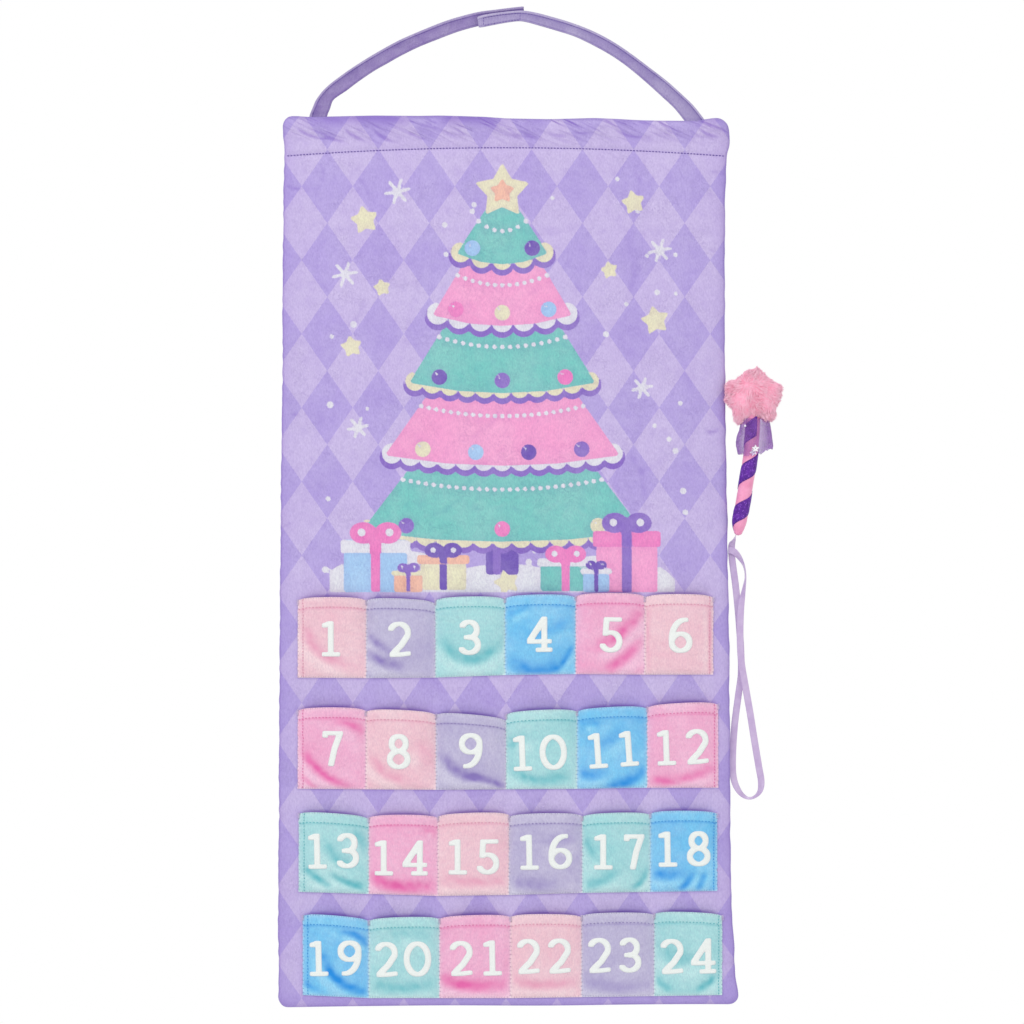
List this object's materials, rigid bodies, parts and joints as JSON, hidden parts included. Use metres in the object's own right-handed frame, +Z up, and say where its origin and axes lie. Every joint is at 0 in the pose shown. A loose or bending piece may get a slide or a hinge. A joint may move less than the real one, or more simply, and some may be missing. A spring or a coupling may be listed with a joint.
{
  "type": "plush advent calendar",
  "caption": "Padded cloth wall hanging with rows of small open pockets, a rod in its top casing, a hook-and-loop strap, and a plush star wand tied to one side by a ribbon.",
  "frame": {"origin": "the underside of the strap at its crown, where a hook or door knob bears", "axes": "+Z up the height of the hanging calendar, +Y out of its back towards the wall, +X to the right as the front is seen"},
  "size_m": [0.4583, 0.0244, 0.9173],
  "materials": {
    "strap": "short-pile velour, topstitched",
    "closure": "hook-and-loop tape",
    "print": "short-pile velour with a printed harlequin pattern",
    "back_cloth": "short-pile velour",
    "wadding": "polyester wadding",
    "wood": "plain turned dowel",
    "ribbon": "lilac satin ribbon",
    "wand_satin": "pink satin over stuffing",
    "wand_glitter": "purple glitter ribbon",
    "fur": "long-pile pink plush",
    "organza": "sheer purple organza",
    "sequin": "glossy white",
    "blush": "short-pile velour, light pink",
    "lavender": "short-pile velour, lavender",
    "mint": "short-pile velour, aqua",
    "sky": "short-pile velour, sky blue",
    "pink": "short-pile velour, orchid pink"
  },
  "bodies": {
    "strap_left": {"strap_left": "strap", "loop_tape": "closure"},
    "strap_right": {"strap_right": "strap", "hook_tape": "closure"},
    "panel": {"front_cover": "print", "back_cover": "back_cloth", "wadding": "wadding", "hanging_rod": "wood", "pocket_01": "blush", "pocket_02": "lavender", "pocket_03": "mint", "pocket_04": "sky", "pocket_05": "pink", "pocket_06": "blush", "pocket_07": "pink", "pocket_08": "blush", "pocket_09": "lavender", "pocket_10": "mint", "pocket_11": "sky", "pocket_12": "pink", "pocket_13": "mint", "pocket_14": "pink", "pocket_15": "blush", "pocket_16": "lavender", "pocket_17": "mint", "pocket_18": "sky", "pocket_19": "sky", "pocket_20": "mint", "pocket_21": "pink", "pocket_22": "blush", "pocket_23": "lavender", "pocket_24": "mint", "tether_ribbon": "ribbon"},
    "wand": {"wand_sleeve": "wand_satin", "wand_core": "wadding", "wand_ribbon_wrap": "wand_glitter", "wand_star": "fur", "star_stuffing": "wadding", "wand_skirt": "organza", "wand_flower_lower": "sequin", "wand_flower_upper": "sequin", "wand_bead": "sequin"}
  },
  "joints": [
    {"name": "panel_swing", "type": "hinge", "parent": "strap_left", "child": "panel", "pos_m": [0, 0, -0.08037], "axis": [-1, 0, 0], "range_deg": [-20, 30]},
    {"name": "closure_peel", "type": "hinge", "parent": "strap_left", "child": "strap_right", "pos_m": [0.17, 0, -0.08037], "axis": [1, 0, 0], "range_deg": [0, 70]},
    {"name": "wand_swing", "type": "hinge", "parent": "panel", "child": "wand", "pos_m": [0.21394, -0.004, -0.46186], "axis": [0, 1, 0], "range_deg": [0, 120]}
  ]
}
